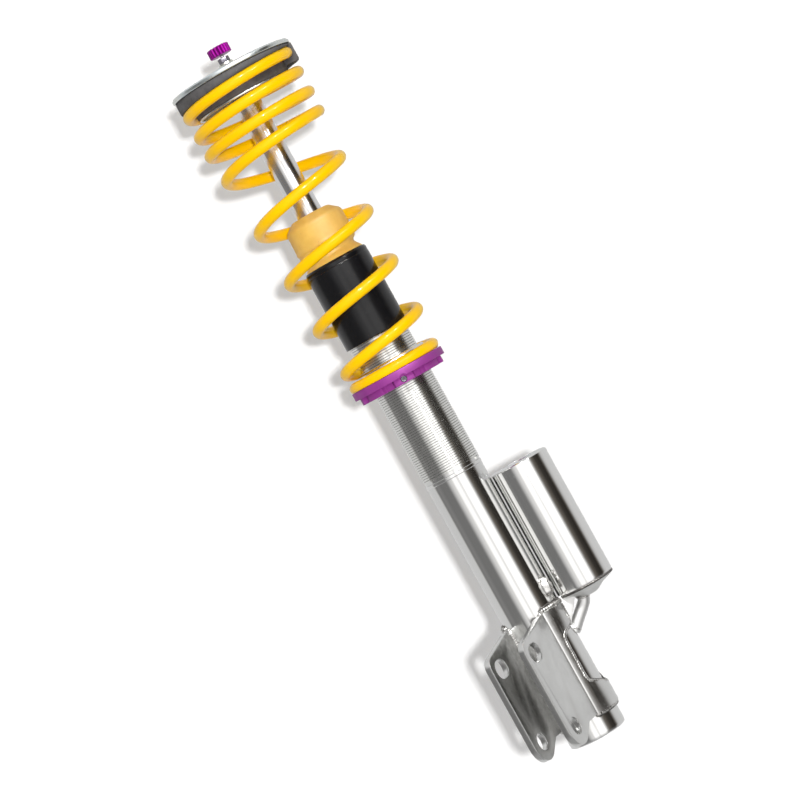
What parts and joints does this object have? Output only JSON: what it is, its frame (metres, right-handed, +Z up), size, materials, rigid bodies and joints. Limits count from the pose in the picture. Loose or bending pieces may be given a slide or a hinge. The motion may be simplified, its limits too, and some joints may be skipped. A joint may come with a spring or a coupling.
{
  "type": "coilover strut",
  "caption": "Suspension strut with threaded housing, coil spring on an adjustable perch, external reservoir and a two-bolt knuckle bracket.",
  "frame": {"origin": "centre of the housing's flat bottom face, on the strut's axis", "axes": "+Z up the piston rod, -Y towards the front edges of the knuckle bracket's ears, +X out of the right ear's face; the reservoir stands 28 degrees from +X towards +Y"},
  "size_m": [0.1214, 0.1305, 0.6294],
  "materials": {
    "polished_steel": "ground and polished stainless steel with fine rings",
    "satin_steel": "satin stainless plate",
    "chrome": "hard chrome, polished",
    "zinc": "bright zinc plating",
    "dark_steel": "phosphated steel",
    "purple_anodised": "purple anodised",
    "magenta_anodised": "bright magenta anodised",
    "bare_aluminium": "machined",
    "yellow_powder_coat": "gloss powder coat",
    "rubber": "matte moulded",
    "foam": "microcellular polyurethane with a skin",
    "sleeve_plastic": "satin black",
    "seal": "smooth"
  },
  "bodies": {
    "housing": {"housing_tube": "polished_steel", "bottom_plug": "polished_steel", "base_valve": "dark_steel", "pressure_tube": "satin_steel", "rod_guide": "bare_aluminium", "rod_seal": "seal", "gland_nut": "dark_steel", "rod_wiper": "seal", "reservoir_tube": "polished_steel", "reservoir_cap": "bare_aluminium", "reservoir_base": "satin_steel", "bracket_saddle": "satin_steel", "ear_right": "satin_steel", "ear_left": "satin_steel", "oil_pipe": "satin_steel", "pipe_gusset": "satin_steel", "weld_plug": "satin_steel"},
    "upper_seat": {"upper_plate": "zinc", "inner_cup": "zinc", "spring_isolator": "rubber"},
    "rod": {"piston_rod": "chrome", "rebound_stop": "seal", "rebound_shims": "dark_steel", "damper_piston": "bare_aluminium", "piston_band": "seal", "compression_shims": "dark_steel", "piston_nut": "dark_steel", "adjuster_hexagon": "dark_steel"},
    "adjuster": {"adjuster_needle": "chrome", "adjuster_knob": "magenta_anodised"},
    "bump_unit": {"dust_sleeve": "sleeve_plastic", "bump_stop": "foam"},
    "perch": {"centring_ring": "polished_steel", "coil_spring": "yellow_powder_coat"},
    "collar": {"perch_collar": "purple_anodised", "set_screw": "chrome"},
    "divider": {"divider_piston": "bare_aluminium", "divider_ring": "seal"}
  },
  "joints": [
    {"name": "damper_stroke", "type": "slide", "parent": "housing", "child": "upper_seat", "axis": [0, 0, -1], "range_m": [0, 0.09], "stiffness_N_per_m": 40000, "deforming": ["coil_spring"]},
    {"name": "rod_turn", "type": "hinge", "parent": "upper_seat", "child": "rod", "pos_m": [0, 0, 0.6], "axis": [0, 0, 1], "range_deg": [-38, 38]},
    {"name": "rebound_adjuster", "type": "hinge", "parent": "rod", "child": "adjuster", "pos_m": [0, 0, 0.62], "axis": [0, 0, 1], "range_deg": [0, 630]},
    {"name": "bump_unit_slide", "type": "slide", "parent": "housing", "child": "bump_unit", "axis": [0, 0, 1], "range_m": [0, 0.012]},
    {"name": "perch_slide", "type": "slide", "parent": "housing", "child": "perch", "axis": [0, 0, 1], "range_m": [-0.0302, 0]},
    {"name": "collar_turn", "type": "hinge", "parent": "perch", "child": "collar", "pos_m": [0, 0, 0.33], "axis": [0, 0, 1], "range_deg": [-5400, 0]},
    {"name": "divider_slide", "type": "slide", "parent": "housing", "child": "divider", "axis": [0, 0, 1], "range_m": [0, 0.0245]}
  ],
  "couplings": [
    {"joint": "perch_slide", "follows": "collar_turn", "m_per_rad": 0.00031831},
    {"joint": "divider_slide", "follows": "damper_stroke", "ratio": 0.2605}
  ]
}
